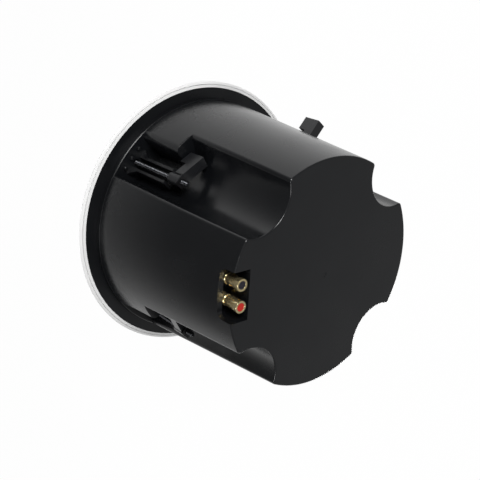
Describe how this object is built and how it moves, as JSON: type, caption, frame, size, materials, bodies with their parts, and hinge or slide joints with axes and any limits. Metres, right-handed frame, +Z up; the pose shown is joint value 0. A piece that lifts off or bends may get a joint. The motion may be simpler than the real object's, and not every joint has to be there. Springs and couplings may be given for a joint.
{
  "type": "in-ceiling speaker",
  "caption": "Round in-ceiling speaker with a fluted black back can, swing-out ceiling clamps, gold binding posts in a rear recess and a white bezel with a perforated grille.",
  "frame": {"origin": "centre of the flange's upper face, where it meets the underside of the ceiling", "axes": "+Z up into the ceiling void along the speaker's axis, +X towards the terminal recess"},
  "size_m": [0.268, 0.268, 0.1876],
  "materials": {
    "can": "semi-gloss moulded black",
    "baffle": "satin moulded black",
    "bezel": "satin moulded white",
    "grille": "white powder coat",
    "cloth": "thin open weave",
    "clamp": "satin moulded black",
    "clamp_nut": "black zinc",
    "clamp_screw": "black zinc",
    "post": "pale gold plate, knurled",
    "disc_black": "gloss",
    "disc_red": "gloss",
    "zinc_nut": "zinc plate",
    "board": "circuit board",
    "choke": "enamelled copper",
    "capacitor": "sleeved",
    "resistor": "ceramic",
    "pad": "felted fibre",
    "gasket": "foam",
    "basket": "black paint",
    "surround": "matt",
    "cone": "satin polypropylene",
    "coil": "former and winding",
    "spider": "pressed cloth",
    "pole_steel": "zinc plate",
    "magnet": "ferrite",
    "tweeter": "satin moulded black",
    "tweeter_post": "turned",
    "dome": "coated silk",
    "screw": "black zinc"
  },
  "bodies": {
    "speaker": {"back_can": "can", "baffle": "baffle", "bezel_ring": "bezel", "grille": "grille", "grille_cloth": "cloth", "terminal_stud_black": "post", "terminal_stud_red": "post", "terminal_nuts": "zinc_nut", "crossover_board": "board", "crossover_choke": "choke", "crossover_capacitor": "capacitor", "crossover_resistor": "resistor", "damping_pad": "pad", "woofer_gasket": "gasket", "woofer_basket": "basket", "woofer_surround": "surround", "spider": "spider", "top_plate": "pole_steel", "magnet": "magnet", "back_plate": "pole_steel", "tweeter_post": "tweeter_post", "tweeter_post_nut": "zinc_nut", "tweeter_housing": "tweeter", "tweeter_magnet": "magnet", "tweeter_faceplate": "tweeter", "tweeter_dome": "dome", "can_screws": "screw", "driver_screws": "screw"},
    "clamp_screw_1": {"clamp_screw_1": "clamp_screw"},
    "clamp_nut_1": {"clamp_nut_1": "clamp_nut"},
    "clamp_dog_1": {"clamp_dog_1": "clamp"},
    "clamp_screw_2": {"clamp_screw_2": "clamp_screw"},
    "clamp_nut_2": {"clamp_nut_2": "clamp_nut"},
    "clamp_dog_2": {"clamp_dog_2": "clamp"},
    "clamp_screw_3": {"clamp_screw_3": "clamp_screw"},
    "clamp_nut_3": {"clamp_nut_3": "clamp_nut"},
    "clamp_dog_3": {"clamp_dog_3": "clamp"},
    "clamp_screw_4": {"clamp_screw_4": "clamp_screw"},
    "clamp_nut_4": {"clamp_nut_4": "clamp_nut"},
    "clamp_dog_4": {"clamp_dog_4": "clamp"},
    "cone": {"woofer_cone": "cone", "voice_coil": "coil"},
    "knob_black": {"terminal_knob_black": "post", "terminal_disc_black": "disc_black"},
    "knob_red": {"terminal_knob_red": "post", "terminal_disc_red": "disc_red"}
  },
  "joints": [
    {"name": "clamp_screw_1_turn", "type": "hinge", "parent": "speaker", "child": "clamp_screw_1", "pos_m": [0.07941, -0.06696, 0], "axis": [0, 0, -1], "range_deg": [0, 1080]},
    {"name": "clamp_1_travel", "type": "slide", "parent": "speaker", "child": "clamp_nut_1", "axis": [0, 0, 1], "range_m": [0, 0.006]},
    {"name": "clamp_1_swing", "type": "hinge", "parent": "clamp_nut_1", "child": "clamp_dog_1", "pos_m": [0.07941, -0.06696, 0.06], "axis": [0, 0, 1], "range_deg": [0, 110]},
    {"name": "clamp_screw_2_turn", "type": "hinge", "parent": "speaker", "child": "clamp_screw_2", "pos_m": [0.06696, 0.07941, 0], "axis": [0, 0, -1], "range_deg": [0, 1080]},
    {"name": "clamp_2_travel", "type": "slide", "parent": "speaker", "child": "clamp_nut_2", "axis": [0, 0, 1], "range_m": [0, 0.006]},
    {"name": "clamp_2_swing", "type": "hinge", "parent": "clamp_nut_2", "child": "clamp_dog_2", "pos_m": [0.06696, 0.07941, 0.06], "axis": [0, 0, 1], "range_deg": [0, 110]},
    {"name": "clamp_screw_3_turn", "type": "hinge", "parent": "speaker", "child": "clamp_screw_3", "pos_m": [-0.07941, 0.06696, 0], "axis": [0, 0, -1], "range_deg": [0, 1080]},
    {"name": "clamp_3_travel", "type": "slide", "parent": "speaker", "child": "clamp_nut_3", "axis": [0, 0, 1], "range_m": [0, 0.006]},
    {"name": "clamp_3_swing", "type": "hinge", "parent": "clamp_nut_3", "child": "clamp_dog_3", "pos_m": [-0.07941, 0.06696, 0.06], "axis": [0, 0, 1], "range_deg": [0, 110]},
    {"name": "clamp_screw_4_turn", "type": "hinge", "parent": "speaker", "child": "clamp_screw_4", "pos_m": [-0.06696, -0.07941, 0], "axis": [0, 0, -1], "range_deg": [-8100, 1080]},
    {"name": "clamp_4_travel", "type": "slide", "parent": "speaker", "child": "clamp_nut_4", "axis": [0, 0, 1], "range_m": [-0.045, 0.006]},
    {"name": "clamp_4_swing", "type": "hinge", "parent": "clamp_nut_4", "child": "clamp_dog_4", "pos_m": [-0.06696, -0.07941, 0.06], "axis": [0, 0, -1], "range_deg": [0, 110]},
    {"name": "cone_travel", "type": "slide", "parent": "speaker", "child": "cone", "axis": [0, 0, 1], "range_m": [-0.004, 0.004], "stiffness_N_per_m": 2000, "deforming": ["woofer_surround", "spider"]},
    {"name": "knob_black_unscrew", "type": "slide", "parent": "speaker", "child": "knob_black", "axis": [0, 0, 1], "range_m": [-0.003, 0.005]},
    {"name": "knob_red_unscrew", "type": "slide", "parent": "speaker", "child": "knob_red", "axis": [0, 0, 1], "range_m": [-0.003, 0.005]}
  ],
  "couplings": [
    {"joint": "clamp_screw_1_turn", "follows": "clamp_1_travel", "rad_per_m": 3141.6},
    {"joint": "clamp_screw_2_turn", "follows": "clamp_2_travel", "rad_per_m": 3141.6},
    {"joint": "clamp_screw_3_turn", "follows": "clamp_3_travel", "rad_per_m": 3141.6},
    {"joint": "clamp_screw_4_turn", "follows": "clamp_4_travel", "rad_per_m": 3141.6}
  ]
}
